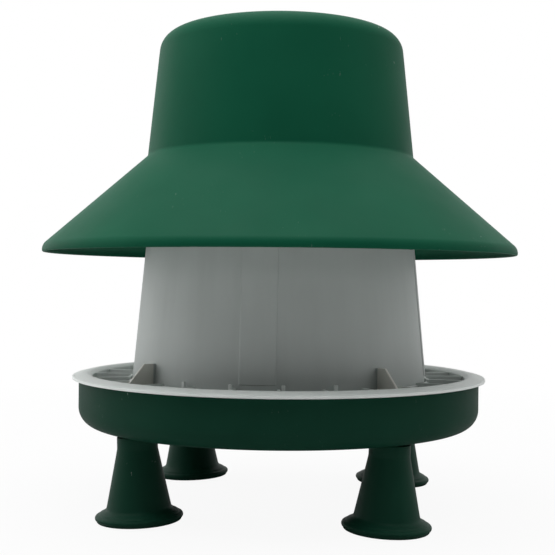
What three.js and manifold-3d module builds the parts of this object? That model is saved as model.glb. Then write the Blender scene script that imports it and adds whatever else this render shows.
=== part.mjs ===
// Gravity poultry feeder: a tapered hopper stands in a round pan, feed falls round a cone into
// the pan's trough, and the birds reach it through a slotted grill. A brimmed hat keeps rain off
// and four flared legs carry the pan. Millimetres, +Z up, origin on the floor under the centre.
import * as THREE from 'three';
import { mergeVertices } from 'three/addons/utils/BufferGeometryUtils.js';
import Module from 'manifold-3d';

const wasm = await Module();
wasm.setup();

// ---------------------------------------------------------------- driving dimensions
const BIG_SEGMENTS = 48;
const LEG_SEGMENTS = 20;
const GAP = 0.3;

// rain hat
const HAT_TOP = 428;
const HAT_WALL = 2.6;
const CROWN_CORNER = 17.8;
const CROWN_CORNER_R = 94.3;
const CROWN_TAPER = 0.0999;
const CROWN_FOOT_R = 121.7;
const CROWN_FOOT_Z = 314.95;
const BRIM_R = 214.9;
const BRIM_EDGE_RADIUS = 9.2;
const BRIM_EDGE_Z = 228.47;
const BRIM_FALL = 0.8835;
const BRIM_LIP_Z = 226.5;
const HAT_RIBS = 8;
const HAT_RIB_THICK = 2.4;
const HAT_RIB_FOOT_Z = 332;

// hopper
const HOPPER_TOP = 411.6;
const HOPPER_BOTTOM = 97;
const HOPPER_WALL = 2.5;
const HOPPER_TAPER = 0.0928;
const HOPPER_SKIRT_TOP = 118;
const HOPPER_SKIRT_R = 133.4;
const BEAD_PROUD = 1.2;
const BEAD_TALL = 5;
const BAND_WIDTH = 29.5;
const BAND_PROUD = 0.8;
const BAND_TOP = 402;
const FIN_THICK = 2.4;
const FIN_TOP = 131.4;
const FIN_TOP_R = 143.2;
const FIN_KNEE_R = 157.5;
const FIN_KNEE_Z = 116;
const FIN_FOOT_R = 150;
const FIN_FOOT_Z = 79.4;

// bail handle and the ears that hold it
const WIRE_R = 2;
const BAIL_Z = 408;
const BAIL_BOW_R = 93;
const BAIL_BEND = 6;
const BAIL_END_X = 105.9;
const EAR_INNER_X = 100;
const EAR_HALF_WIDTH = 7;
const EAR_BOTTOM = 400.5;
const LEDGE_WIDTH = 14;
const LEDGE_INNER_R = 87;

// grill
const GRILL_R = 187.5;
const GRILL_UNDER = 113.4;
const GRILL_LIP_BOTTOM = 114.1;
const GRILL_LIP_TOP = 116;
const GRILL_CREASE_R = 184.8;
const GRILL_CREASE_Z = 117.1;
const GRILL_CREST_R = 175.5;
const GRILL_CREST_Z = 118.8;
const GRILL_OPEN_R = 169.5;
const GRILL_OPEN_TOP = 116.2;
const GRILL_OPEN_BOTTOM = 112.6;
const SKIRT_OUTER_R = 178;
const SKIRT_INNER_R = 175.6;
const SKIRT_BOTTOM = 104.5;
const COLLAR_R = 135.4;
const COLLAR_WALL = 3;
const COLLAR_TOP = 114;
const TAB_AZIMUTHS = [63, 81, 99, 117, 243, 261, 279, 297];
const TAB_WIDTH = 3;
const TAB_TOP = 119.2;
const BAR_COUNT = 24;
const BAR_THICK = 2.4;
const BAR_BOTTOM = 108;
const BAR_TOP = 116.1;
const NOTCH_WIDTH = 5;

// pan
const PAN_R = 181.7;
const PAN_WALL = 2.6;
const PAN_TOP = 113;
const PAN_BOTTOM = 72;
const PAN_CORNER = 17;
const PAN_FLOOR = PAN_BOTTOM + PAN_WALL;
const BOSS_R = 24.5;
const BOSS_TOP = 86;
const HOOK_R = 142;
const HOOK_WIDTH = 6;
const HOOK_Z = 85.2;
const HOOK_THICK = 3;
const LOCK_TURN = 12;

// feed cone
const CONE_TOP = 152;
const CONE_SHOULDER_R = 10;
const CONE_SHOULDER_Z = 149.5;
const CONE_BASE_R = 99;
const CONE_WALL = 2.6;
const CONE_BOTTOM = PAN_FLOOR + 0.4;
const CONE_FALL = 0.776;
const ARM_WIDTH = 13;
const ARM_END_R = 154;
const ARM_THICK = 4;
const FORK_THICK = 3;
const FORK_GAP = 3.2;
const FORK_TALL = 4;

// legs: each leans a little sideways, its foot nearer the middle than its head
const LEG_PITCH_R = 149;
const LEG_LEAN = 2.05;
const NECK_R = 17;
const NECK_BOTTOM = 61;
const NECK_BORE_R = 13.2;
const FLARE_R = 27;
const FLARE_Z = 11;
const SHOULDER_R = 33;
const FOOT_R = 36.7;
const FOOT_TALL = 5.6;
const SOLE_R = FOOT_R - 1.4;
const STUB_R = 12.6;
const STUB_BORE_R = 9.8;
const STUB_BOTTOM = 57;
const LUG_R = 14.4;
const LUG_WIDTH = 5;
const LUG_Z = 61;
const LUG_TALL = 5;
const LEG_TURN = 45;
const LUG_CLEAR_ANGLE = 14;

// ---------------------------------------------------------------- small helpers
const radians = THREE.MathUtils.degToRad;
const DIAGONALS = [45, 135, 225, 315];

const hopperRadius = (z) => HOPPER_SKIRT_R - HOPPER_TAPER * (z - HOPPER_SKIRT_TOP);
const crownRadius = (z) => CROWN_FOOT_R - CROWN_TAPER * (z - CROWN_FOOT_Z);

// from a leg's own upright frame to its place: leaned about the middle of its head
function placeLeg(body, azimuth) {
  const x = LEG_PITCH_R * Math.cos(radians(azimuth));
  const y = LEG_PITCH_R * Math.sin(radians(azimuth));
  return body
    .translate([0, 0, -PAN_BOTTOM])
    .rotate([0, 0, azimuth])
    .rotate([0, Math.sign(x) * LEG_LEAN, 0])
    .translate([x, y, PAN_BOTTOM]);
}

// points on a circular arc, from one angle to another, both ends included
function arc(r, z, radius, from, to, steps) {
  const points = [];
  for (let i = 0; i <= steps; i += 1) {
    const angle = radians(from + ((to - from) * i) / steps);
    points.push([r + radius * Math.cos(angle), z + radius * Math.sin(angle)]);
  }
  return points;
}

// a closed triangle mesh from a three.js geometry, its faces turned outwards
function solid(geometry) {
  const source = geometry.index ? geometry.toNonIndexed() : geometry;
  source.deleteAttribute('normal');
  source.deleteAttribute('uv');
  const merged = mergeVertices(source, 1e-4);
  const position = merged.attributes.position;
  const corners = [];
  let volume = 0;
  const a = new THREE.Vector3();
  const b = new THREE.Vector3();
  const c = new THREE.Vector3();
  for (let i = 0; i < merged.index.count; i += 3) {
    const triangle = [0, 1, 2].map((k) => merged.index.getX(i + k));
    if (new Set(triangle).size === 3) {
      corners.push(triangle);
      a.fromBufferAttribute(position, triangle[0]);
      b.fromBufferAttribute(position, triangle[1]);
      c.fromBufferAttribute(position, triangle[2]);
      volume += a.dot(b.cross(c));
    }
  }
  const triVerts = new Uint32Array((volume < 0 ? corners.map((t) => t.reverse()) : corners).flat());
  const vertProperties = new Float32Array(position.array);
  return new wasm.Manifold(new wasm.Mesh({ numProp: 3, vertProperties, triVerts }));
}

// a ring or a solid of revolution about Z from [radius, height] points
function turned(points, segments = BIG_SEGMENTS) {
  const profile = points.map(([r, z]) => new THREE.Vector2(r, z));
  return solid(new THREE.LatheGeometry(profile, segments).rotateX(Math.PI / 2));
}

// a closed ring: the profile's last point joins its first
const ring = (points, segments) => turned([...points, points[0]], segments);

// a box between radii, centred across the radial direction, then swung to its azimuth
function radialBox(innerR, outerR, width, low, high, azimuth, offset = 0) {
  const box = new THREE.BoxGeometry(outerR - innerR, width, high - low);
  box.translate((innerR + outerR) / 2, offset, (low + high) / 2);
  return solid(box.rotateZ(radians(azimuth)));
}

// an upright plate in a radial plane, from [radius, height] points
function radialPlate(points, thick, azimuth) {
  const shape = new THREE.Shape(points.map(([r, z]) => new THREE.Vector2(r, z)));
  const plate = new THREE.ExtrudeGeometry(shape, { depth: thick, bevelEnabled: false });
  plate.translate(0, 0, -thick / 2).rotateX(Math.PI / 2);
  return solid(plate.rotateZ(radians(azimuth)));
}

const material = (color, roughness, metalness) =>
  new THREE.MeshStandardMaterial({ color, roughness, metalness });
const hatGreen = () => material(0x1a5940, 0.45, 0);
const panGreen = () => material(0x17382a, 0.5, 0);
const hopperGrey = () => material(0x8a9594, 0.5, 0);
const galvanised = () => material(0xa8acae, 0.35, 0.9);

function part(name, body, look) {
  const mesh = body.getMesh();
  const geometry = new THREE.BufferGeometry();
  geometry.setAttribute('position', new THREE.BufferAttribute(mesh.vertProperties, 3));
  geometry.setIndex(new THREE.BufferAttribute(mesh.triVerts, 1));
  geometry.computeVertexNormals();
  const result = new THREE.Mesh(geometry, look);
  result.name = name;
  return result;
}

// ---------------------------------------------------------------- rain hat
function rainHat() {
  const slope = THREE.MathUtils.radToDeg(Math.atan(1 / BRIM_FALL));
  const lean = THREE.MathUtils.radToDeg(Math.atan(CROWN_TAPER));
  const edgeR = BRIM_R - BRIM_EDGE_RADIUS;
  const cornerZ = HAT_TOP - CROWN_CORNER;
  const innerCorner = CROWN_CORNER - HAT_WALL;
  const innerEdge = BRIM_EDGE_RADIUS - HAT_WALL;
  const footR = CROWN_FOOT_R - HAT_WALL * 0.94;
  const footZ = CROWN_FOOT_Z - HAT_WALL * 0.5;
  let hat = turned([
    [0, HAT_TOP],
    ...arc(CROWN_CORNER_R, cornerZ, CROWN_CORNER, 90, lean, 4),
    [CROWN_FOOT_R, CROWN_FOOT_Z],
    ...arc(edgeR, BRIM_EDGE_Z, BRIM_EDGE_RADIUS, slope, 0, 3),
    [BRIM_R - 0.4, BRIM_LIP_Z],
    [BRIM_R - HAT_WALL, BRIM_LIP_Z],
    ...arc(edgeR, BRIM_EDGE_Z, innerEdge, 0, slope, 2),
    [footR, footZ],
    ...arc(CROWN_CORNER_R, cornerZ, innerCorner, lean, 90, 4),
    [0, HAT_TOP - HAT_WALL],
  ]);
  const wallMid = HAT_WALL / 2;
  const standOff = 1.9;
  const seat = HOPPER_TOP + 0.4;
  const rib = [
    [98, seat],
    [hopperRadius(seat) + standOff, seat],
    [hopperRadius(HAT_RIB_FOOT_Z) + standOff, HAT_RIB_FOOT_Z],
    [crownRadius(HAT_RIB_FOOT_Z) - wallMid, HAT_RIB_FOOT_Z],
    ...arc(CROWN_CORNER_R, cornerZ, CROWN_CORNER - wallMid, lean, 90, 3),
  ];
  for (let i = 0; i < HAT_RIBS; i += 1) {
    hat = hat.add(radialPlate(rib, HAT_RIB_THICK, 22.5 + (360 / HAT_RIBS) * i));
  }
  return part('rain_hat', hat, hatGreen());
}

// ---------------------------------------------------------------- hopper
function hopper() {
  const topR = hopperRadius(HOPPER_TOP);
  const beadZ = HOPPER_TOP - BEAD_TALL;
  const beadR = topR + BEAD_PROUD;
  let body = ring([
    [HOPPER_SKIRT_R, HOPPER_BOTTOM],
    [HOPPER_SKIRT_R, HOPPER_SKIRT_TOP],
    [hopperRadius(beadZ), beadZ],
    [beadR, beadZ + 1],
    [beadR, HOPPER_TOP - 1],
    [topR, HOPPER_TOP],
    [topR - HOPPER_WALL, HOPPER_TOP],
    [HOPPER_SKIRT_R - HOPPER_WALL, HOPPER_SKIRT_TOP],
    [HOPPER_SKIRT_R - HOPPER_WALL, HOPPER_BOTTOM],
  ]);
  const bandFoot = HOPPER_SKIRT_TOP + 1;
  const bandInset = 1;
  const sleeve = ring([
    [hopperRadius(bandFoot) + BAND_PROUD, bandFoot],
    [hopperRadius(BAND_TOP) + BAND_PROUD, BAND_TOP],
    [hopperRadius(BAND_TOP) - bandInset, BAND_TOP],
    [hopperRadius(bandFoot) - bandInset, bandFoot],
  ]);
  const reach = HOPPER_SKIRT_R + 10;
  for (const azimuth of [0, 90, 180, 270]) {
    const strip = radialBox(0, reach, BAND_WIDTH, bandFoot - 5, BAND_TOP + 5, azimuth);
    body = body.add(sleeve.intersect(strip));
  }
  body = addFins(body);
  return part('hopper', addBailSeats(body), hopperGrey());
}

// four gusset fins whose feet carry the hopper; a window near each foot takes the pan's hook
function addFins(body) {
  const rootR = HOPPER_SKIRT_R - HOPPER_WALL / 2;
  const outline = [
    [rootR, FIN_FOOT_Z],
    [FIN_FOOT_R, FIN_FOOT_Z],
    [FIN_FOOT_R + 2, FIN_KNEE_Z - 16],
    [FIN_KNEE_R, FIN_KNEE_Z - 8],
    [FIN_KNEE_R, FIN_KNEE_Z],
    [FIN_TOP_R, FIN_TOP],
    [rootR, FIN_TOP],
  ];
  const margin = 1.5;
  const half = HOOK_WIDTH / 2 + margin;
  const low = HOOK_Z - 0.8;
  const high = HOOK_Z + HOOK_THICK + 1;
  let result = body;
  for (const azimuth of DIAGONALS) {
    const fin = radialPlate(outline, FIN_THICK, azimuth);
    const window = radialBox(HOOK_R - half, HOOK_R + half, 4 * FIN_THICK, low, high, azimuth);
    result = result.add(fin.subtract(window));
  }
  return result;
}

// inside the mouth: two drilled ears for the bail's ends and a ledge on which the bail rests
function addBailSeats(body) {
  const wallR = hopperRadius(BAIL_Z) - HOPPER_WALL / 2;
  let result = body;
  for (const azimuth of [0, 180]) {
    const ear = radialBox(EAR_INNER_X, wallR, 2 * EAR_HALF_WIDTH, EAR_BOTTOM, HOPPER_TOP, azimuth);
    const bore = new THREE.CylinderGeometry(WIRE_R + GAP, WIRE_R + GAP, 20, 16);
    bore.rotateZ(Math.PI / 2).translate(BAIL_END_X, 0, BAIL_Z);
    result = result.add(ear).subtract(solid(bore.rotateZ(radians(azimuth))));
  }
  const ledgeTop = BAIL_Z - WIRE_R - 0.4;
  const gusset = [
    [LEDGE_INNER_R, ledgeTop],
    [wallR, ledgeTop],
    [wallR, ledgeTop - 16],
    [LEDGE_INNER_R, ledgeTop - 3],
  ];
  return result.add(radialPlate(gusset, LEDGE_WIDTH, 90));
}

// ---------------------------------------------------------------- bail handle
function bailHandle() {
  const at = (x, y) => new THREE.Vector3(x, y, BAIL_Z);
  const bendX = BAIL_BOW_R + BAIL_BEND;
  const startAngle = Math.asin(BAIL_BEND / BAIL_BOW_R);
  const bowX = BAIL_BOW_R * Math.cos(startAngle);
  const path = new THREE.CurvePath();
  path.add(new THREE.LineCurve3(at(BAIL_END_X, 0), at(bendX, 0)));
  path.add(new THREE.QuadraticBezierCurve3(at(bendX, 0), at(bowX, 0), at(bowX, BAIL_BEND)));
  const bow = [];
  const bowSteps = 16;
  for (let i = 0; i <= bowSteps; i += 1) {
    const angle = startAngle + ((Math.PI - 2 * startAngle) * i) / bowSteps;
    bow.push(at(BAIL_BOW_R * Math.cos(angle), BAIL_BOW_R * Math.sin(angle)));
  }
  path.add(new THREE.CatmullRomCurve3(bow));
  path.add(new THREE.QuadraticBezierCurve3(at(-bowX, BAIL_BEND), at(-bowX, 0), at(-bendX, 0)));
  path.add(new THREE.LineCurve3(at(-bendX, 0), at(-BAIL_END_X, 0)));
  const section = new THREE.Shape();
  section.absarc(0, 0, WIRE_R, 0, 2 * Math.PI);
  const options = { steps: 40, extrudePath: path, curveSegments: 4, bevelEnabled: false };
  return part('bail_handle', solid(new THREE.ExtrudeGeometry(section, options)), galvanised());
}

// ---------------------------------------------------------------- feed-saver grill
// a domed rim over the pan's wall, a collar round the hopper, and bars that join the two
function feedSaverGrill() {
  const domeMiddle = (GRILL_CREST_R + GRILL_CREASE_R) / 2;
  let grill = ring([
    [GRILL_OPEN_R, GRILL_OPEN_BOTTOM],
    [GRILL_OPEN_R, GRILL_OPEN_TOP],
    [GRILL_OPEN_R + 0.9, GRILL_OPEN_TOP + 0.9],
    [GRILL_CREST_R - 2.4, GRILL_CREST_Z - 0.3],
    [GRILL_CREST_R, GRILL_CREST_Z],
    [domeMiddle, GRILL_CREST_Z - 0.5],
    [GRILL_CREASE_R, GRILL_CREASE_Z],
    [GRILL_R - 0.6, GRILL_LIP_TOP + 0.4],
    [GRILL_R, GRILL_LIP_TOP],
    [GRILL_R, GRILL_LIP_BOTTOM + 0.7],
    [GRILL_R - 0.7, GRILL_LIP_BOTTOM],
    [PAN_R + 1.6, GRILL_UNDER],
    [SKIRT_OUTER_R, GRILL_UNDER],
    [SKIRT_OUTER_R, SKIRT_BOTTOM],
    [SKIRT_INNER_R, SKIRT_BOTTOM],
    [SKIRT_INNER_R, GRILL_OPEN_BOTTOM],
  ]);
  const collarOuter = COLLAR_R + COLLAR_WALL;
  let collar = ring([
    [COLLAR_R, BAR_BOTTOM],
    [COLLAR_R, COLLAR_TOP],
    [collarOuter, COLLAR_TOP],
    [collarOuter, BAR_BOTTOM],
  ]);
  for (const azimuth of TAB_AZIMUTHS) {
    const tab = radialBox(COLLAR_R + 0.4, collarOuter, TAB_WIDTH, COLLAR_TOP - 2, TAB_TOP, azimuth);
    collar = collar.add(tab);
  }
  for (const azimuth of DIAGONALS) {
    const low = BAR_BOTTOM - 5;
    const high = TAB_TOP + 5;
    const notch = radialBox(COLLAR_R - 5, collarOuter + 5, NOTCH_WIDTH, low, high, azimuth);
    collar = collar.subtract(notch);
  }
  grill = grill.add(collar);
  const bar = [
    [COLLAR_R + 1, BAR_BOTTOM],
    [GRILL_OPEN_R + 1.5, BAR_BOTTOM],
    [GRILL_OPEN_R + 1.5, BAR_TOP],
    [COLLAR_R + 1, BAR_TOP],
  ];
  const pitch = 360 / BAR_COUNT;
  for (let i = 0; i < BAR_COUNT; i += 1) {
    grill = grill.add(radialPlate(bar, BAR_THICK, pitch / 2 + pitch * i));
  }
  return part('feed_saver_grill', grill, hopperGrey());
}

// ---------------------------------------------------------------- pan
function feedPan() {
  const cornerR = PAN_R - PAN_CORNER;
  const cornerZ = PAN_BOTTOM + PAN_CORNER;
  const innerR = PAN_R - PAN_WALL;
  const rimEase = 0.6;
  let pan = turned([
    [0, BOSS_TOP - PAN_WALL],
    [BOSS_R - PAN_WALL, BOSS_TOP - PAN_WALL],
    [BOSS_R - PAN_WALL, PAN_BOTTOM],
    ...arc(cornerR, cornerZ, PAN_CORNER, -90, 0, 5),
    [PAN_R, PAN_TOP - rimEase],
    [PAN_R - rimEase, PAN_TOP],
    [innerR, PAN_TOP],
    ...arc(cornerR, cornerZ, PAN_CORNER - PAN_WALL, 0, -90, 5),
    [BOSS_R, PAN_FLOOR],
    [BOSS_R, BOSS_TOP],
    [0, BOSS_TOP],
  ]);
  for (const azimuth of DIAGONALS) {
    pan = pan.add(hook(azimuth + LOCK_TURN)).add(legStub(azimuth));
  }
  return part('feed_pan', pan, panGreen());
}

// an upright post with a finger that enters the fin's window as the hopper turns
function hook(azimuth) {
  const inner = HOOK_R - HOOK_WIDTH / 2;
  const outer = HOOK_R + HOOK_WIDTH / 2;
  const top = HOOK_Z + HOOK_THICK;
  const postOffset = 11.2;
  const fingerLength = 18;
  const post = radialBox(inner, outer, 4, PAN_FLOOR - 1, top, azimuth, postOffset);
  const fingerOffset = postOffset - fingerLength / 2 + 1;
  return post.add(radialBox(inner, outer, fingerLength, HOOK_Z, top, azimuth, fingerOffset));
}

// a hollow stub under the pan, with two lugs that turn in the leg's neck
function legStub(azimuth) {
  const root = PAN_BOTTOM + 1.3;
  let stub = ring([
    [STUB_BORE_R, STUB_BOTTOM],
    [STUB_R, STUB_BOTTOM],
    [STUB_R, root],
    [STUB_BORE_R, root],
  ], LEG_SEGMENTS);
  for (const side of [0, 180]) {
    stub = stub.add(radialBox(STUB_R - 1, LUG_R, LUG_WIDTH, LUG_Z, LUG_Z + LUG_TALL, side));
  }
  return placeLeg(stub, azimuth);
}

// ---------------------------------------------------------------- feed cone
function feedCone() {
  const fallTo = (r) => CONE_SHOULDER_Z - CONE_FALL * (r - CONE_SHOULDER_R);
  const drop = CONE_WALL * Math.hypot(1, CONE_FALL);
  const hubInner = BOSS_R + 0.4;
  const hubOuter = hubInner + CONE_WALL;
  const baseInner = CONE_BASE_R - CONE_WALL;
  let cone = turned([
    [0, CONE_TOP],
    [CONE_SHOULDER_R, CONE_SHOULDER_Z],
    [CONE_BASE_R - 2, fallTo(CONE_BASE_R - 2)],
    [CONE_BASE_R, fallTo(CONE_BASE_R) - 1.5],
    [CONE_BASE_R, CONE_BOTTOM],
    [baseInner, CONE_BOTTOM],
    [baseInner, fallTo(baseInner) - drop],
    [hubOuter, fallTo(hubOuter) - drop],
    [hubOuter, CONE_BOTTOM],
    [hubInner, CONE_BOTTOM],
    [hubInner, fallTo(hubInner) - drop],
    [CONE_SHOULDER_R, CONE_SHOULDER_Z - drop],
    [0, CONE_TOP - drop],
  ]);
  const armTop = CONE_BOTTOM + ARM_THICK;
  const forkOffset = (FORK_GAP + FORK_THICK) / 2;
  for (const azimuth of DIAGONALS) {
    cone = cone.add(radialBox(baseInner + 1, ARM_END_R, ARM_WIDTH, CONE_BOTTOM, armTop, azimuth));
    for (const side of [-forkOffset, forkOffset]) {
      const innerR = HOPPER_SKIRT_R - HOPPER_WALL;
      cone = cone.add(
        radialBox(innerR, ARM_END_R, FORK_THICK, armTop - 1, armTop + FORK_TALL, azimuth, side),
      );
    }
  }
  return part('feed_cone', cone, hopperGrey());
}

// ---------------------------------------------------------------- legs
function leg(name, azimuth) {
  const wall = NECK_R - NECK_BORE_R;
  const bottomInner = FLARE_R - wall + 1.5;
  const lean = radians(LEG_LEAN);
  const top = PAN_BOTTOM - GAP - NECK_R * Math.sin(lean);
  const reach = SOLE_R * Math.cos(Math.PI / LEG_SEGMENTS);
  const sole = PAN_BOTTOM - (PAN_BOTTOM - reach * Math.sin(lean)) / Math.cos(lean);
  let body = ring([
    [NECK_R, top],
    [NECK_R, NECK_BOTTOM],
    [FLARE_R, sole + FLARE_Z],
    [SHOULDER_R, sole + FOOT_TALL + 0.6],
    [FOOT_R - 1.2, sole + FOOT_TALL],
    [FOOT_R, sole + FOOT_TALL - 1.4],
    [FOOT_R, sole + 1.6],
    [SOLE_R, sole],
    [bottomInner, sole],
    [FLARE_R - wall, sole + FLARE_Z],
    [NECK_BORE_R, STUB_BOTTOM - 1],
    [NECK_BORE_R, top],
  ], LEG_SEGMENTS);
  const slotR = LUG_R + 0.6;
  const slotLow = LUG_Z - 0.6;
  const slotTall = LUG_TALL + 1.2;
  for (const side of [0, 180]) {
    const closed = side + LUG_CLEAR_ANGLE;
    const open = side - LEG_TURN - LUG_CLEAR_ANGLE;
    const entryEnd = open + 2 * LUG_CLEAR_ANGLE;
    body = body.subtract(sector(slotR, open, closed, slotLow, slotTall));
    body = body.subtract(sector(slotR, open, entryEnd, slotLow, top - slotLow + 1));
  }
  return part(name, placeLeg(body, azimuth), panGreen());
}

// a wedge of a ring inside the neck, cut to let a lug turn or enter
function sector(radius, from, to, low, tall) {
  const inner = NECK_BORE_R - 2;
  const shape = new THREE.Shape();
  shape.absarc(0, 0, radius, radians(from), radians(to), false);
  shape.absarc(0, 0, inner, radians(to), radians(from), true);
  const wedge = new THREE.ExtrudeGeometry(shape, {
    depth: tall,
    curveSegments: 6,
    bevelEnabled: false,
  });
  return solid(wedge.translate(0, 0, low));
}

// ---------------------------------------------------------------- assembly
const feeder = new THREE.Group();
feeder.add(rainHat());
feeder.add(hopper());
feeder.add(bailHandle());
feeder.add(feedSaverGrill());
feeder.add(feedPan());
feeder.add(feedCone());
feeder.add(leg('leg_rear_right', 45));
feeder.add(leg('leg_rear_left', 135));
feeder.add(leg('leg_front_left', 225));
feeder.add(leg('leg_front_right', 315));

export default feeder;
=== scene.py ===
"""Looks of the gravity poultry feeder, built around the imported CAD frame. Metres, +Z up."""

import math

import bmesh
import bpy
from mathutils import Matrix, Vector

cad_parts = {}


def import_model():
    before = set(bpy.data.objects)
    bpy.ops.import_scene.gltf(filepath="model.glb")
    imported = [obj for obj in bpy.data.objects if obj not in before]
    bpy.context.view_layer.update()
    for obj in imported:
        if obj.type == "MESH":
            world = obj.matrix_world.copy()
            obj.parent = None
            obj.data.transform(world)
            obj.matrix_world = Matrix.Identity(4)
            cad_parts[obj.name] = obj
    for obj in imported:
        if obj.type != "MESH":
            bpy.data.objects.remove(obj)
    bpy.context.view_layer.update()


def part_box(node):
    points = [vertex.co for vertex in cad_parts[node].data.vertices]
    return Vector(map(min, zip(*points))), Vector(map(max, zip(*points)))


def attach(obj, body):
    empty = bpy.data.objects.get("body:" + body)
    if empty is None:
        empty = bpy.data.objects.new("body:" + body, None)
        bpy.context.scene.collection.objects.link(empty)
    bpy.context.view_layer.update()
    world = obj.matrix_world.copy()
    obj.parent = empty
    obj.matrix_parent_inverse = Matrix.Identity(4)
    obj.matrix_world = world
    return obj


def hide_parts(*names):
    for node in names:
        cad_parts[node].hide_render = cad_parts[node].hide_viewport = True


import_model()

MM = 0.001
DIAGONALS = (45, 135, 225, 315)
ROUND_STEPS = 192
LEG_STEPS = 96


# ------------------------------------------------------------------ camera
def make_camera():
    """A level look at the feeder from a little to its right, about a metre off."""
    distance = 0.970
    height = 0.201
    azimuth = math.radians(7.4)
    roll = math.radians(0.527)
    swing = math.radians(0.109)
    rise = math.radians(0.279)
    data = bpy.data.cameras.new("camera")
    data.sensor_width = 36.0
    data.lens = 67.98
    data.clip_start = 0.02
    data.clip_end = 100.0
    camera = bpy.data.objects.new("camera", data)
    bpy.context.scene.collection.objects.link(camera)
    level = Vector((-math.sin(azimuth), math.cos(azimuth), 0.0))
    across = Vector((math.cos(azimuth), math.sin(azimuth), 0.0))
    up = Vector((0.0, 0.0, 1.0))
    right = across * math.cos(roll) + up * math.sin(roll)
    above = up * math.cos(roll) - across * math.sin(roll)
    forward = (level - right * math.tan(swing) + above * math.tan(rise)).normalized()
    right = (right - forward * right.dot(forward)).normalized()
    above = right.cross(forward)
    turn = Matrix((right, above, -forward)).transposed()
    camera.matrix_world = Matrix.Translation(-level * distance + up * height) @ turn.to_4x4()
    bpy.context.scene.camera = camera


make_camera()


# ------------------------------------------------------------------ mesh helpers
def arc(r, z, radius, start, stop, steps):
    """Points on a circular arc from one angle to another, in degrees, both ends included."""
    turns = [math.radians(start + (stop - start) * i / steps) for i in range(steps + 1)]
    return [(r + radius * math.cos(t), z + radius * math.sin(t)) for t in turns]


def straight(first, last, steps):
    """Points along a straight line, the last one left out."""
    shares = [i / steps for i in range(steps)]
    return [tuple(a + (b - a) * s for a, b in zip(first, last)) for s in shares]


def outward(mesh):
    """Turns a closed mesh's faces outwards."""
    bmesh.ops.recalc_face_normals(mesh, faces=mesh.faces)
    if mesh.calc_volume(signed=True) < 0:
        bmesh.ops.reverse_faces(mesh, faces=mesh.faces)


def to_object(mesh, name):
    data = bpy.data.meshes.new(name)
    outward(mesh)
    mesh.to_mesh(data)
    mesh.free()
    made = bpy.data.objects.new(name, data)
    bpy.context.scene.collection.objects.link(made)
    return made


def lathe(name, profile, steps=ROUND_STEPS, closed=False):
    """A solid of revolution from (radius, height) points in millimetres.
    An open profile starts and ends on the axis; a closed one joins its ends."""
    mesh = bmesh.new()
    rows = []
    for r, z in profile:
        if r < 1e-6:
            rows.append([mesh.verts.new((0.0, 0.0, z * MM))])
        else:
            turns = [2 * math.pi * i / steps for i in range(steps)]
            spots = [(r * math.cos(t) * MM, r * math.sin(t) * MM, z * MM) for t in turns]
            rows.append([mesh.verts.new(spot) for spot in spots])
    pairs = list(zip(rows, rows[1:]))
    if closed:
        pairs.append((rows[-1], rows[0]))
    for a, b in pairs:
        for i in range(steps):
            j = (i + 1) % steps
            corners = [a[i % len(a)], a[j % len(a)], b[j % len(b)], b[i % len(b)]]
            unique = list(dict.fromkeys(corners))
            mesh.faces.new(unique)
    return to_object(mesh, name)


def plate(outline, thick, azimuth, ease=0.35):
    """An upright plate in a radial plane from (radius, height) points, with eased edges."""
    mesh = bmesh.new()
    near = [mesh.verts.new((r * MM, -thick / 2 * MM, z * MM)) for r, z in outline]
    far = [mesh.verts.new((r * MM, thick / 2 * MM, z * MM)) for r, z in outline]
    mesh.faces.new(near)
    mesh.faces.new(list(reversed(far)))
    for i in range(len(outline)):
        j = (i + 1) % len(outline)
        mesh.faces.new((near[i], far[i], far[j], near[j]))
    outward(mesh)
    if ease:
        width = ease * MM
        bmesh.ops.bevel(
            mesh, geom=mesh.edges[:], offset=width, segments=2, profile=0.5, affect="EDGES"
        )
    mesh.transform(Matrix.Rotation(math.radians(azimuth), 4, "Z"))
    return to_object(mesh, "plate")


def block(inner, outer, width, low, high, azimuth, offset=0.0, ease=0.35):
    """A box between two radii, centred across the radius, swung to its azimuth."""
    outline = [(inner, low), (outer, low), (outer, high), (inner, high)]
    made = plate(outline, width, 0, ease)
    shift = Matrix.Translation((0, offset * MM, 0))
    made.data.transform(Matrix.Rotation(math.radians(azimuth), 4, "Z") @ shift)
    return made


def joined(objects, name):
    """One object from several, which may hold separate bodies."""
    mesh = bmesh.new()
    for o in objects:
        mesh.from_mesh(o.data)
        bpy.data.objects.remove(o)
    data = bpy.data.meshes.new(name)
    mesh.to_mesh(data)
    mesh.free()
    made = bpy.data.objects.new(name, data)
    bpy.context.scene.collection.objects.link(made)
    return made


def boolean(base, tool, operation):
    """Joins a tool to base, or cuts it away, and removes the tool."""
    change = base.modifiers.new("change", "BOOLEAN")
    change.operation = operation
    change.solver = "EXACT"
    change.object = tool
    evaluated = base.evaluated_get(bpy.context.evaluated_depsgraph_get())
    data = bpy.data.meshes.new_from_object(evaluated)
    base.modifiers.clear()
    base.data = data
    bpy.data.objects.remove(tool)
    return base


def smooth(piece, angle=32):
    """Smooth shading that stays crisp at real edges."""
    piece.data.shade_smooth()
    piece.data.set_sharp_from_angle(angle=math.radians(angle))
    return piece


def put(piece, name, body, node, material):
    """Names a finished piece, rides it on its body and gives it its finish."""
    piece.name = name
    piece.data.name = name
    piece.data.materials.clear()
    piece.data.materials.append(material)
    smooth(piece)
    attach(piece, body)
    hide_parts(node)
    return piece


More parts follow.
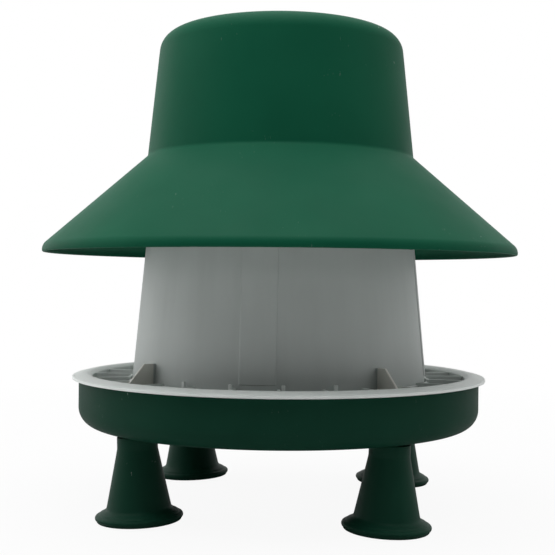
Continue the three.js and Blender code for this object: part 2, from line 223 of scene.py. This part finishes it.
# ------------------------------------------------------------------ material helpers
class Nodes:
    """A short way to write a procedural material."""

    def __init__(self, name):
        self.material = bpy.data.materials.new(name)
        self.material.use_nodes = True
        self.tree = self.material.node_tree
        self.shader = self.tree.nodes["Principled BSDF"]
        self.place = self.add("ShaderNodeTexCoord").outputs["Object"]

    def add(self, kind, **settings):
        node = self.tree.nodes.new(kind)
        for key, value in settings.items():
            setattr(node, key, value)
        return node

    def link(self, source, target):
        self.tree.links.new(source, target)

    def stretched(self, scale):
        node = self.add("ShaderNodeMapping")
        node.inputs["Scale"].default_value = scale
        self.link(self.place, node.inputs["Vector"])
        return node.outputs["Vector"]

    def noise(self, scale, detail=3.0, roughness=0.5, vector=None, distortion=0.0):
        node = self.add("ShaderNodeTexNoise")
        node.inputs["Scale"].default_value = scale
        node.inputs["Detail"].default_value = detail
        node.inputs["Roughness"].default_value = roughness
        node.inputs["Distortion"].default_value = distortion
        self.link(vector or self.place, node.inputs["Vector"])
        return node.outputs["Fac"]

    def ramp(self, source, low, high, first=0.0, last=1.0):
        node = self.add("ShaderNodeMapRange", clamp=True)
        node.inputs["From Min"].default_value = low
        node.inputs["From Max"].default_value = high
        node.inputs["To Min"].default_value = first
        node.inputs["To Max"].default_value = last
        self.link(source, node.inputs["Value"])
        return node.outputs["Result"]

    def math(self, operation, a, b):
        node = self.add("ShaderNodeMath", operation=operation)
        for socket, value in zip(node.inputs, (a, b)):
            if isinstance(value, (int, float)):
                socket.default_value = value
            else:
                self.link(value, socket)
        return node.outputs["Value"]

    def mix(self, share, first, last):
        node = self.add("ShaderNodeMix", data_type="RGBA")
        self.link(share, node.inputs["Factor"])
        for socket, value in ((node.inputs[6], first), (node.inputs[7], last)):
            if isinstance(value, tuple):
                socket.default_value = (*value, 1.0)
            else:
                self.link(value, socket)
        return node.outputs[2]

    def bump(self, height, distance, strength=1.0, under=None):
        node = self.add("ShaderNodeBump")
        node.inputs["Distance"].default_value = distance
        node.inputs["Strength"].default_value = strength
        self.link(height, node.inputs["Height"])
        if under is not None:
            self.link(under, node.inputs["Normal"])
        return node.outputs["Normal"]

    def set(self, **values):
        for key, value in values.items():
            socket = self.shader.inputs[key.replace("_", " ")]
            if hasattr(value, "links"):
                self.link(value, socket)
            else:
                socket.default_value = value


PEEL_DEPTH = 0.00005
GRAIN_DEPTH = 0.00005
FIN_ROOT, FIN_CLEAR = 0.1343, 0.1350


def moulded_plastic(name, deep, light, rough, specular, streaks=0.0, scuff=None, fin_painted_light=None):
    """Satin moulded plastic: cloudy colour, fine spark-eroded grain, and where they are asked
    for, faint flow streaks, a few scuffs and a paler colour painted on the fins round the hopper's
    foot, which are slim enough to let some light through: that paler colour is painted light."""
    n = Nodes(name)
    clouds = n.noise(9.0, detail=4.0, roughness=0.55)
    colour = n.mix(n.ramp(clouds, 0.35, 0.65), deep, light)
    if streaks:
        flow = n.noise(1.0, detail=3.0, vector=n.stretched((70.0, 70.0, 2.5)))
        dark = tuple(c * (1.0 - streaks) for c in deep)
        colour = n.mix(n.ramp(flow, 0.42, 0.72, 0.0, 0.5), colour, dark)
    if scuff:
        scratch = n.noise(1.0, detail=2.0, vector=n.stretched((900.0, 60.0, 240.0)), distortion=0.6)
        patches = n.noise(14.0, detail=2.0)
        marks = n.math("MULTIPLY", n.ramp(scratch, 0.72, 0.78), n.ramp(patches, 0.56, 0.66))
        colour = n.mix(n.math("MULTIPLY", marks, 0.5), colour, scuff)
    # Painted light: beyond the hopper's wall the fins are painted paler, standing for light that comes
    # through them.
    if fin_painted_light:
        flat = n.add("ShaderNodeVectorMath", operation="MULTIPLY")
        flat.inputs[1].default_value = (1.0, 1.0, 0.0)
        n.link(n.place, flat.inputs[0])
        reach = n.add("ShaderNodeVectorMath", operation="LENGTH")
        n.link(flat.outputs["Vector"], reach.inputs[0])
        colour = n.mix(n.ramp(reach.outputs["Value"], FIN_ROOT, FIN_CLEAR), colour, fin_painted_light)
    uneven = n.noise(26.0, detail=3.0)
    n.set(Base_Color=colour, Roughness=n.ramp(uneven, 0.3, 0.7, rough - 0.02, rough + 0.03))
    n.set(Specular_IOR_Level=specular)
    peel = n.bump(n.noise(160.0, detail=2.0), PEEL_DEPTH)
    n.set(Normal=n.bump(n.noise(1500.0, detail=2.0, roughness=0.6), GRAIN_DEPTH, under=peel))
    return n.material


GREEN_DEEP = (0.0045, 0.078, 0.0405)
GREEN_LIGHT = (0.0060, 0.089, 0.0465)
# The pan and the legs are the same green plastic as the hat; their colours here are about half as
# bright, as painted shade for the brim's shadow over them.
PAN_DEEP_PAINTED_SHADE = (0.0050, 0.037, 0.0215)
PAN_LIGHT_PAINTED_SHADE = (0.0065, 0.0435, 0.0258)
HOPPER_DEEP = (0.495, 0.532, 0.517)
HOPPER_LIGHT = (0.530, 0.568, 0.553)
GREY_DEEP = (0.760, 0.800, 0.778)
GREY_LIGHT = (0.800, 0.840, 0.818)
SCUFF = (0.42, 0.46, 0.44)
# Painted light: the paler tone painted on the hopper's fins.
FIN_PAINTED_LIGHT = (0.78, 0.765, 0.71)
HOPPER_COLOURS = (HOPPER_DEEP, HOPPER_LIGHT)

hat_plastic = moulded_plastic("hat_plastic", GREEN_DEEP, GREEN_LIGHT, 0.5, 0.04, scuff=SCUFF)
# Pan and legs take the darkened green: painted shade from the brim.
pan_plastic_painted_shade = moulded_plastic("pan_plastic_painted_shade", PAN_DEEP_PAINTED_SHADE, PAN_LIGHT_PAINTED_SHADE, 0.5, 0.04, scuff=SCUFF)
leg_plastic_painted_shade = moulded_plastic("leg_plastic_painted_shade", PAN_DEEP_PAINTED_SHADE, PAN_LIGHT_PAINTED_SHADE, 0.48, 0.07, scuff=SCUFF)
hopper_plastic = moulded_plastic("hopper_plastic", *HOPPER_COLOURS, 0.5, 0.35, 0.05, fin_painted_light=FIN_PAINTED_LIGHT)
grill_plastic = moulded_plastic("grill_plastic", GREY_DEEP, GREY_LIGHT, 0.45, 0.35)
cone_plastic = moulded_plastic("cone_plastic", *HOPPER_COLOURS, 0.5, 0.35)


def galvanised_wire():
    """Dull zinc with small bright spangles."""
    n = Nodes("galvanised_wire")
    spangle = n.add("ShaderNodeTexVoronoi")
    spangle.inputs["Scale"].default_value = 420.0
    n.link(n.place, spangle.inputs["Vector"])
    tone = n.ramp(spangle.outputs["Distance"], 0.1, 0.7)
    n.set(Base_Color=n.mix(tone, (0.42, 0.44, 0.46), (0.62, 0.64, 0.66)), Metallic=1.0)
    n.set(Roughness=n.ramp(n.noise(90.0), 0.3, 0.7, 0.32, 0.5))
    n.set(Normal=n.bump(n.noise(700.0, detail=3.0), 0.00005))
    return n.material


# ------------------------------------------------------------------ shared dimensions, millimetres
HAT_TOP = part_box("rain_hat")[1].z / MM
HOPPER_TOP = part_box("hopper")[1].z / MM
PAN_BOTTOM = 72.0
PAN_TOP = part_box("feed_pan")[1].z / MM
HOPPER_SKIRT_TOP = 118.0
HOPPER_SKIRT_R = 133.4
HOPPER_TAPER = 0.0928
HOPPER_WALL = 2.5
LEG_PITCH_R = 149.0
LEG_LEAN = math.radians(2.05)


def place_leg(azimuth):
    """From a leg's own upright frame to its place, leaned sideways about the middle of its head."""
    turn = math.radians(azimuth)
    x, y = LEG_PITCH_R * math.cos(turn) * MM, LEG_PITCH_R * math.sin(turn) * MM
    own = Matrix.Rotation(turn, 4, "Z") @ Matrix.Translation((0, 0, -PAN_BOTTOM * MM))
    lean = Matrix.Rotation(math.copysign(LEG_LEAN, x), 4, "Y")
    return Matrix.Translation((x, y, PAN_BOTTOM * MM)) @ lean @ own


def hopper_radius(z):
    return HOPPER_SKIRT_R - HOPPER_TAPER * (z - HOPPER_SKIRT_TOP)


# ------------------------------------------------------------------ rain hat
def rain_hat():
    wall = 2.6
    corner, corner_r = 17.8, 94.3
    corner_z = HAT_TOP - corner
    taper = 0.0999
    foot_r, foot_z = 121.7, 314.95
    edge, edge_z, brim_r = 9.2, 228.47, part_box("rain_hat")[1].x / MM
    lip_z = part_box("rain_hat")[0].z / MM
    slope = math.degrees(math.atan(1 / 0.8835))
    lean = math.degrees(math.atan(taper))
    inner_foot = (foot_r - wall * 0.94, foot_z - wall * 0.5)
    edge_r = brim_r - edge
    side_top = arc(corner_r, corner_z, corner, lean, lean, 1)[0]
    brim_end = arc(edge_r, edge_z, edge, slope, slope, 1)[0]
    inner_side_top = arc(corner_r, corner_z, corner - wall, lean, lean, 1)[0]
    inner_brim_end = arc(edge_r, edge_z, edge - wall, slope, slope, 1)[0]
    fillet = 1.6
    dome = [(0.0, HAT_TOP), *straight((12.0, HAT_TOP - 0.01), (corner_r, HAT_TOP - 0.05), 6)]
    profile = [
        *dome,
        *arc(corner_r, corner_z, corner - 0.05, 90, lean, 14),
        *straight(side_top, (foot_r + fillet * taper, foot_z + fillet), 10)[1:],
        (foot_r + fillet * taper, foot_z + fillet),
        (foot_r + 0.28, foot_z + 0.35),
        (foot_r + fillet * 0.75, foot_z - fillet * 0.60),
        *straight((foot_r + fillet * 1.3, foot_z - fillet * 1.15), brim_end, 12),
        *arc(edge_r, edge_z, edge, slope, -4, 12),
        *arc(brim_r - 1.3, lip_z + 1.2, 1.2, -8, -172, 8),
        *arc(edge_r, edge_z, edge - wall, -4, slope, 8),
        *straight(inner_brim_end, inner_foot, 12)[1:],
        inner_foot,
        *straight(inner_foot, inner_side_top, 10)[1:],
        *arc(corner_r, corner_z, corner - wall, lean, 90, 10),
        *straight((corner_r - 10, HAT_TOP - wall), (0.0, HAT_TOP - wall), 5),
        (0.0, HAT_TOP - wall),
    ]
    hat = lathe("hat", profile)
    seat = HOPPER_TOP + 0.4
    stand_off = 1.9
    rib_foot = 332.0
    crown = foot_r - taper * (rib_foot - foot_z)
    rib = [
        (98.0, seat),
        (hopper_radius(seat) + stand_off, seat),
        (hopper_radius(rib_foot) + stand_off, rib_foot),
        (crown - wall / 2, rib_foot),
        *arc(corner_r, corner_z, corner - wall / 2, lean, 90, 6),
    ]
    ribs = joined([plate(rib, 2.4, 22.5 + 45 * i) for i in range(8)], "ribs")
    boolean(hat, ribs, "UNION")
    return put(hat, "hat_shell", "hat", "rain_hat", hat_plastic)


# ------------------------------------------------------------------ hopper
def hopper_wall():
    """The tube: four slightly raised bands of one width run up a tapering wall."""
    proud = 0.8
    half = 14.75
    band_low, band_high = HOPPER_SKIRT_TOP + 1, 402.0
    edges = [0.0, 5.0, 10.0, 13.6, 14.3, half]
    edges += [half + 0.22, half + 0.44, half + 1.0, half + 2.2]
    lifts = [1.0, 1.0, 1.0, 1.0, 1.0, 0.86, 0.5, 0.1, 0.0, 0.0]
    spans = 30
    bottom = 97.0
    bead_z = HOPPER_TOP - 5
    bead = 1.2
    levels = [bottom, bottom + 0.5, 104.0, 112.0, HOPPER_SKIRT_TOP]
    levels += [band_low - 0.4, band_low, band_low + 0.6]
    levels += [130.0 + 15.0 * i for i in range(18)]
    levels += [393.0, band_high - 0.6, band_high, band_high + 0.4, bead_z]

    def outer(z):
        return HOPPER_SKIRT_R if z < HOPPER_SKIRT_TOP else hopper_radius(z)

    rows = [(outer(z) - (0.5 if z == bottom else 0.0), z, band_low <= z <= band_high) for z in levels]
    top_r = hopper_radius(HOPPER_TOP)
    rows += [(r, z, False) for r, z in arc(top_r + bead - 1.0, bead_z + 1.1, 1.0, -60, 0, 4)]
    rows += [(r, z, False) for r, z in arc(top_r + bead - 1.0, HOPPER_TOP - 1.0, 1.0, 0, 90, 5)]
    rows += [(r, z, False) for r, z in arc(top_r - HOPPER_WALL + 0.6, HOPPER_TOP - 0.6, 0.6, 90, 180, 4)]
    inner_skirt = HOPPER_SKIRT_R - HOPPER_WALL
    inner_top = (top_r - HOPPER_WALL, HOPPER_TOP - 2)
    rows += [(r, z, False) for r, z in straight(inner_top, (inner_skirt, HOPPER_SKIRT_TOP), 14)]
    rows += [(inner_skirt, HOPPER_SKIRT_TOP, False), (inner_skirt, bottom + 0.5, False)]
    rows += [(inner_skirt + 0.5, bottom, False)]

    def columns(r):
        """(angle, lift) of each column round one row."""
        quarter = [(math.asin(x / r), lift) for x, lift in zip(edges, lifts)]
        last = quarter[-1][0]
        gap = math.pi / 2 - 2 * last
        middle = [(last + gap * i / spans, 0.0) for i in range(1, spans)]
        mirrored = [(math.pi / 2 - a, lift) for a, lift in reversed(quarter[1:])]
        one = quarter + middle + mirrored
        return [(a + k * math.pi / 2, lift) for k in range(4) for a, lift in one]

    mesh = bmesh.new()
    rings = []
    for r, z, banded in rows:
        made = []
        for angle, lift in columns(r):
            reach = (r + (proud * lift if banded else 0.0)) * MM
            made.append(mesh.verts.new((reach * math.cos(angle), reach * math.sin(angle), z * MM)))
        rings.append(made)
    for a, b in zip(rings, rings[1:] + rings[:1]):
        for i in range(len(a)):
            j = (i + 1) % len(a)
            mesh.faces.new((a[i], a[j], b[j], b[i]))
    return to_object(mesh, "hopper_wall")


def hopper():
    wall = hopper_wall()
    root = HOPPER_SKIRT_R - HOPPER_WALL / 2
    foot = [(root, 79.4), (150.0, 79.4), (152.0, 100.0)]
    outline = [*foot, (157.5, 108.0), (157.5, 116.0), (143.2, 131.4), (root, 131.4)]
    fins = joined([plate(outline, 2.4, a, 0.45) for a in DIAGONALS], "fins")
    windows = joined([block(137.5, 146.5, 10, 84.4, 89.2, a, ease=0) for a in DIAGONALS], "windows")
    boolean(wall, boolean(fins, windows, "DIFFERENCE"), "UNION")
    bail_z = 408.0
    wall_r = hopper_radius(bail_z) - HOPPER_WALL / 2
    ears = [block(100.0, wall_r, 14.0, 400.5, HOPPER_TOP, a, ease=0.6) for a in (0, 180)]
    ledge_top = bail_z - 2.4
    ledge = [(87.0, ledge_top), (wall_r, ledge_top), (wall_r, ledge_top - 16), (87.0, ledge_top - 3)]
    boolean(wall, joined([*ears, plate(ledge, 14.0, 90)], "seats"), "UNION")
    bores = []
    for side in (-1, 1):
        bore = lathe("bore", [(0, -10), (2.3, -10), (2.3, 10), (0, 10)], 32)
        turn = Matrix.Rotation(math.pi / 2, 4, "Y")
        bore.data.transform(Matrix.Translation((side * 105.9 * MM, 0, bail_z * MM)) @ turn)
        bores.append(bore)
    boolean(wall, joined(bores, "bores"), "DIFFERENCE")
    return put(wall, "hopper_tube", "tube", "hopper", hopper_plastic)


# ------------------------------------------------------------------ bail handle
def bail():
    wire, z, bow, bend, end = 2.0, 408.0, 93.0, 6.0, 105.9
    start = math.asin(bend / bow)
    bow_x = bow * math.cos(start)
    side = [(end, 0.0), (end - 0.4, 0.0), ((end + bow + bend) / 2, 0.0)]
    for i in range(9):
        t = i / 8
        x = (1 - t) ** 2 * (bow + bend) + 2 * t * (1 - t) * bow_x + t * t * bow_x
        side.append((x, t * t * bend))
    turns = [start + (math.pi - 2 * start) * i / 72 for i in range(1, 72)]
    path = side + [(bow * math.cos(t), bow * math.sin(t)) for t in turns]
    path += [(-x, y) for x, y in reversed(side)]
    mesh = bmesh.new()
    rings = []
    around = 20
    for i, (x, y) in enumerate(path):
        before, after = path[max(i - 1, 0)], path[min(i + 1, len(path) - 1)]
        along = Vector((after[0] - before[0], after[1] - before[1], 0.0)).normalized()
        across = Vector((-along.y, along.x, 0.0))
        r = wire - (0.4 if i in (0, len(path) - 1) else 0.0)
        ring = []
        for k in range(around):
            t = 2 * math.pi * k / around
            spot = Vector((x, y, z)) + across * (r * math.cos(t)) + Vector((0, 0, r * math.sin(t)))
            ring.append(mesh.verts.new(spot * MM))
        rings.append(ring)
    for a, b in zip(rings, rings[1:]):
        for k in range(around):
            j = (k + 1) % around
            mesh.faces.new((a[k], a[j], b[j], b[k]))
    mesh.faces.new(rings[0])
    mesh.faces.new(rings[-1])
    made = to_object(mesh, "bail")
    return put(made, "bail_wire", "bail", "bail_handle", galvanised_wire())


# ------------------------------------------------------------------ grill
def grill():
    """A domed rim over the pan's wall, a tabbed collar round the hopper, and bars between."""
    rim_r, open_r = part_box("feed_saver_grill")[1].x / MM, 169.5
    under, skirt_low = 113.4, 104.5
    profile = [
        *arc(open_r + 0.5, 113.1, 0.5, -90, -180, 3),
        (open_r, 115.4),
        *arc(open_r + 1.1, 115.6, 1.1, 175, 130, 3),
        (170.9, 117.15),
        (172.0, 117.95),
        (173.1, 118.45),
        (174.2, 118.68),
        (175.5, 118.76),
        (177.0, 118.72),
        (178.6, 118.52),
        (180.2, 118.20),
        (182.2, 117.72),
        (184.0, 117.24),
        (184.5, 117.02),
        (184.9, 116.98),
        (185.4, 117.02),
        (186.3, 116.74),
        *arc(rim_r - 0.9, 115.75, 0.9, 70, 0, 4),
        *arc(rim_r - 0.6, 114.72, 0.6, 0, -90, 4),
        (183.3, under),
        (178.0, under),
        *arc(177.4, skirt_low + 0.6, 0.6, 0, -90, 3),
        *arc(176.2, skirt_low + 0.6, 0.6, -90, -180, 3),
        (175.6, 112.6),
    ]
    rim = lathe("rim", profile, closed=True)
    foot, collar_top, collar_in, collar_out = 108.0, 114.0, 135.4, 138.4
    collar_line = [
        (collar_in, foot),
        (collar_in, collar_top - 0.4),
        (collar_in + 0.4, collar_top),
        (collar_out - 0.4, collar_top),
        (collar_out, collar_top - 0.4),
        (collar_out, foot),
    ]
    collar = lathe("collar", collar_line, closed=True)
    tab_turns = (63, 81, 99, 117, 243, 261, 279, 297)
    tab_in, tab_foot, tab_top = collar_in + 0.4, collar_top - 2, 119.2
    tabs = [block(tab_in, collar_out, 3.0, tab_foot, tab_top, a, ease=0.4) for a in tab_turns]
    boolean(collar, joined(tabs, "tabs"), "UNION")
    notches = joined([block(130, 144, 5.0, 103, 126, a, ease=0) for a in DIAGONALS], "notches")
    boolean(collar, notches, "DIFFERENCE")
    bar_in, bar_out, bar_top = 136.4, 171.0, 116.1
    bar = [(bar_in, foot), (bar_out, foot), (bar_out, bar_top), (bar_in, bar_top)]
    bars = joined([plate(bar, 2.4, 7.5 + 15 * i, 0.4) for i in range(24)], "bars")
    boolean(collar, bars, "UNION")
    boolean(rim, collar, "UNION")
    return put(rim, "grill_ring", "grill", "feed_saver_grill", grill_plastic)


# ------------------------------------------------------------------ pan
def pan():
    pan_r, wall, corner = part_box("feed_pan")[1].x / MM, 2.6, 17.0
    corner_r, corner_z = pan_r - corner, PAN_BOTTOM + corner
    floor = PAN_BOTTOM + wall
    boss_r, boss_top = 24.5, 86.0
    profile = [
        (0.0, boss_top - wall),
        (boss_r - wall, boss_top - wall),
        (boss_r - wall, PAN_BOTTOM + 0.8),
        (boss_r - wall + 0.8, PAN_BOTTOM),
        *straight((boss_r + 10, PAN_BOTTOM), (corner_r, PAN_BOTTOM), 10),
        *arc(corner_r, corner_z, corner, -90, 0, 16),
        (pan_r, 102.0),
        *arc(pan_r - 0.7, PAN_TOP - 0.7, 0.7, 0, 90, 4),
        *arc(pan_r - wall + 0.7, PAN_TOP - 0.7, 0.7, 90, 180, 4),
        (pan_r - wall, 102.0),
        *arc(corner_r, corner_z, corner - wall, 0, -90, 14),
        *straight((corner_r - 8, floor), (boss_r + 0.8, floor), 8),
        *arc(boss_r + 0.8, floor + 0.8, 0.8, -90, -180, 4),
        *arc(boss_r - 1.0, boss_top - 1.0, 1.0, 0, 90, 4),
        (0.0, boss_top),
    ]
    body = lathe("pan", profile)
    hook_span, hook_top = (139, 145), 88.2
    stub_line = [(9.8, 57.0), (12.0, 57.0), (12.6, 57.6), (12.6, 73.3), (9.8, 73.3)]
    added = []
    for azimuth in DIAGONALS:
        locked = azimuth + 12
        post = block(*hook_span, 4.0, floor - 1, hook_top, locked, 11.2)
        arm = block(*hook_span, 18.0, hook_top - 3, hook_top, locked, 3.2)
        added.append(boolean(post, arm, "UNION"))
        stub = lathe("stub", stub_line, 64, closed=True)
        lugs = joined([block(11.6, 14.4, 5.0, 61.0, 66.0, side, ease=0.3) for side in (0, 180)], "lugs")
        boolean(stub, lugs, "UNION")
        stub.data.transform(place_leg(azimuth))
        added.append(stub)
    boolean(body, joined(added, "added"), "UNION")
    return put(body, "pan_bowl", "base", "feed_pan", pan_plastic_painted_shade)


# ------------------------------------------------------------------ feed cone
def cone():
    bottom, wall, fall = 75.0, 2.6, 0.776
    hub = 24.9
    drop = wall * math.hypot(1, fall)

    def top(r):
        return 149.5 - fall * (r - 10)

    profile = [
        (0.0, 152.0),
        *arc(0.0, 140.0, 12.0, 78, 54, 4),
        *straight((10.5, top(10.5)), (97.0, top(97.0)), 12),
        *arc(97.2, top(97.0) - 1.9, 1.8, 60, 0, 5),
        (99.0, bottom),
        (96.4, bottom),
        (96.4, top(96.4) - drop),
        *straight((90.0, top(90.0) - drop), (hub + wall, top(hub + wall) - drop), 6),
        (hub + wall, top(hub + wall) - drop),
        (hub + wall, bottom),
        (hub, bottom),
        (hub, top(hub) - drop),
        (10.0, top(10.0) - drop),
        (0.0, 152.0 - drop),
    ]
    body = lathe("cone", profile)
    arms = []
    for azimuth in DIAGONALS:
        arms.append(block(97.4, 154.0, 13.0, bottom, bottom + 4, azimuth, ease=0.6))
    boolean(body, joined(arms, "arms"), "UNION")
    fork = (130.9, 154.0, 3.0, bottom + 3, bottom + 8)
    forks = [block(*fork, a, side) for a in DIAGONALS for side in (-3.1, 3.1)]
    boolean(body, joined(forks, "forks"), "UNION")
    return put(body, "cone_spider", "spreader", "feed_cone", cone_plastic)


# ------------------------------------------------------------------ legs
def wedge(start, stop, low, high):
    """A sector of a thick ring, used to cut a lug's way inside the neck."""
    steps, radius, inner = 12, 15.0, 11.2
    turns = [math.radians(start + (stop - start) * i / steps) for i in range(steps + 1)]
    outline = [(radius * math.cos(t), radius * math.sin(t)) for t in turns]
    outline += [(inner * math.cos(t), inner * math.sin(t)) for t in reversed(turns)]
    mesh = bmesh.new()
    below = [mesh.verts.new((x * MM, y * MM, low * MM)) for x, y in outline]
    above = [mesh.verts.new((x * MM, y * MM, high * MM)) for x, y in outline]
    mesh.faces.new(below)
    mesh.faces.new(above)
    for i in range(len(outline)):
        j = (i + 1) % len(outline)
        mesh.faces.new((below[i], below[j], above[j], above[i]))
    return to_object(mesh, "wedge")


def leg_shape():
    """One flared leg on the Z axis: neck, cone and a stepped round foot."""
    neck, bore = 17.0, 13.2
    top = PAN_BOTTOM - 0.3 - neck * math.sin(LEG_LEAN)
    sole = PAN_BOTTOM - (PAN_BOTTOM - 34.86 * math.sin(LEG_LEAN)) / math.cos(LEG_LEAN)
    flange = [
        (26.95, 11.6),
        (27.6, 10.3),
        (28.9, 9.3),
        (31.6, 7.9),
        (32.6, 7.45),
        (33.2, 6.7),
        (34.0, 6.3),
        *arc(34.5, 3.7, 2.2, 80, -45, 10),
        *arc(34.0, 1.3, 1.3, -10, -90, 5),
        (30.0, 0.0),
        (25.2, 0.0),
        (23.9, 11.0),
    ]
    profile = [
        *arc(neck - 0.4, top - 0.4, 0.4, 90, 0, 3),
        (neck, 66.0),
        (neck, 61.6),
        (neck + 0.1, 60.8),
        (neck + 0.3, 59.8),
        *straight((18.2, 55.2), (26.5, sole + 13.4), 10),
        *[(r, sole + z) for r, z in flange],
        (bore, 56.0),
        (bore, top),
    ]
    made = lathe("leg", profile, LEG_STEPS, closed=True)
    slot_low, slot_high = 60.4, 66.6
    for side in (0, 180):
        boolean(made, wedge(side - 59, side + 14, slot_low, slot_high), "DIFFERENCE")
        boolean(made, wedge(side - 59, side - 31, slot_low, top + 1), "DIFFERENCE")
    return made


def legs():
    shape = leg_shape()
    places = {"rear_right": 45, "rear_left": 135, "front_left": 225, "front_right": 315}
    for place, azimuth in places.items():
        made = bpy.data.objects.new("leg", shape.data.copy())
        bpy.context.scene.collection.objects.link(made)
        made.data.transform(place_leg(azimuth))
        put(made, f"foot_{place}", f"leg_body_{place}", f"leg_{place}", leg_plastic_painted_shade)
    bpy.data.objects.remove(shape)


rain_hat()
hopper()
bail()
grill()
pan()
cone()
legs()


# ------------------------------------------------------------------ floor, world and lights
def floor():
    mesh = bmesh.new()
    bmesh.ops.create_grid(mesh, x_segments=1, y_segments=1, size=30.0)
    data = bpy.data.meshes.new("floor")
    mesh.to_mesh(data)
    mesh.free()
    made = bpy.data.objects.new("floor", data)
    bpy.context.scene.collection.objects.link(made)
    n = Nodes("floor_paint")
    n.set(Base_Color=(0.6, 0.6, 0.6, 1.0), Roughness=0.9, Specular_IOR_Level=0.1)
    distance = n.add("ShaderNodeVectorMath", operation="LENGTH")
    n.link(n.place, distance.inputs[0])
    glow = n.add("ShaderNodeEmission")
    glow.inputs["Strength"].default_value = 1.0
    share = n.ramp(distance.outputs["Value"], 0.35, 1.2, 0.93, 1.0)
    seen = n.add("ShaderNodeLightPath").outputs["Is Camera Ray"]
    blend = n.add("ShaderNodeMixShader")
    n.link(n.math("MULTIPLY", share, seen), blend.inputs[0])
    n.link(n.shader.outputs[0], blend.inputs[1])
    n.link(glow.outputs[0], blend.inputs[2])
    n.link(blend.outputs[0], n.tree.nodes["Material Output"].inputs["Surface"])
    data.materials.append(n.material)


def world():
    made = bpy.data.worlds.new("studio")
    bpy.context.scene.world = made
    made.use_nodes = True
    tree = made.node_tree
    tree.nodes.clear()
    output = tree.nodes.new("ShaderNodeOutputWorld")
    seen = tree.nodes.new("ShaderNodeBackground")
    seen.inputs["Strength"].default_value = 1.0
    seen.inputs["Color"].default_value = (1, 1, 1, 1)
    lit = tree.nodes.new("ShaderNodeBackground")
    place = tree.nodes.new("ShaderNodeTexCoord")
    split = tree.nodes.new("ShaderNodeSeparateXYZ")
    tree.links.new(place.outputs["Generated"], split.inputs[0])
    ramp = tree.nodes.new("ShaderNodeMapRange")
    ramp.inputs["From Min"].default_value = -0.75
    ramp.inputs["From Max"].default_value = 0.35
    ramp.inputs["To Min"].default_value = 0.0
    ramp.inputs["To Max"].default_value = 1.22
    tree.links.new(split.outputs["Y"], ramp.inputs["Value"])
    tree.links.new(ramp.outputs["Result"], lit.inputs["Strength"])
    path = tree.nodes.new("ShaderNodeLightPath")
    mix = tree.nodes.new("ShaderNodeMixShader")
    tree.links.new(path.outputs["Is Camera Ray"], mix.inputs[0])
    tree.links.new(lit.outputs[0], mix.inputs[1])
    tree.links.new(seen.outputs[0], mix.inputs[2])
    tree.links.new(mix.outputs[0], output.inputs["Surface"])


def softbox(name, place, target, size, power):
    data = bpy.data.lights.new(name, "AREA")
    data.shape = "RECTANGLE"
    data.size, data.size_y = size
    data.energy = power
    made = bpy.data.objects.new(name, data)
    bpy.context.scene.collection.objects.link(made)
    made.location = place
    made.rotation_mode = "QUATERNION"
    made.rotation_quaternion = (Vector(target) - Vector(place)).to_track_quat("-Z", "Y")


floor()
world()
middle = (0.0, 0.0, 0.25)
softbox("key_top", (-0.1, -0.36, 1.75), middle, (1.4, 1.0), 16.6)
softbox("front_high", (0.0, -1.3, 1.6), middle, (1.4, 0.8), 0.9)
softbox("top_rear", (0.0, 0.5, 1.75), middle, (1.6, 0.9), 7.0)
softbox("left_high", (-1.3, -0.5, 1.4), middle, (1.0, 1.0), 5.0)
softbox("right_high", (1.3, -0.5, 1.4), middle, (1.0, 1.0), 1.6)
softbox("left", (-1.7, -0.4, 0.6), middle, (0.9, 1.3), 3.9)
softbox("left_rear", (-1.5, 0.8, 0.6), middle, (0.9, 1.3), 2.9)
softbox("front_fill", (0.2, -2.0, 0.56), middle, (1.8, 0.25), 1.1)

bpy.context.scene.view_settings.view_transform = "Standard"
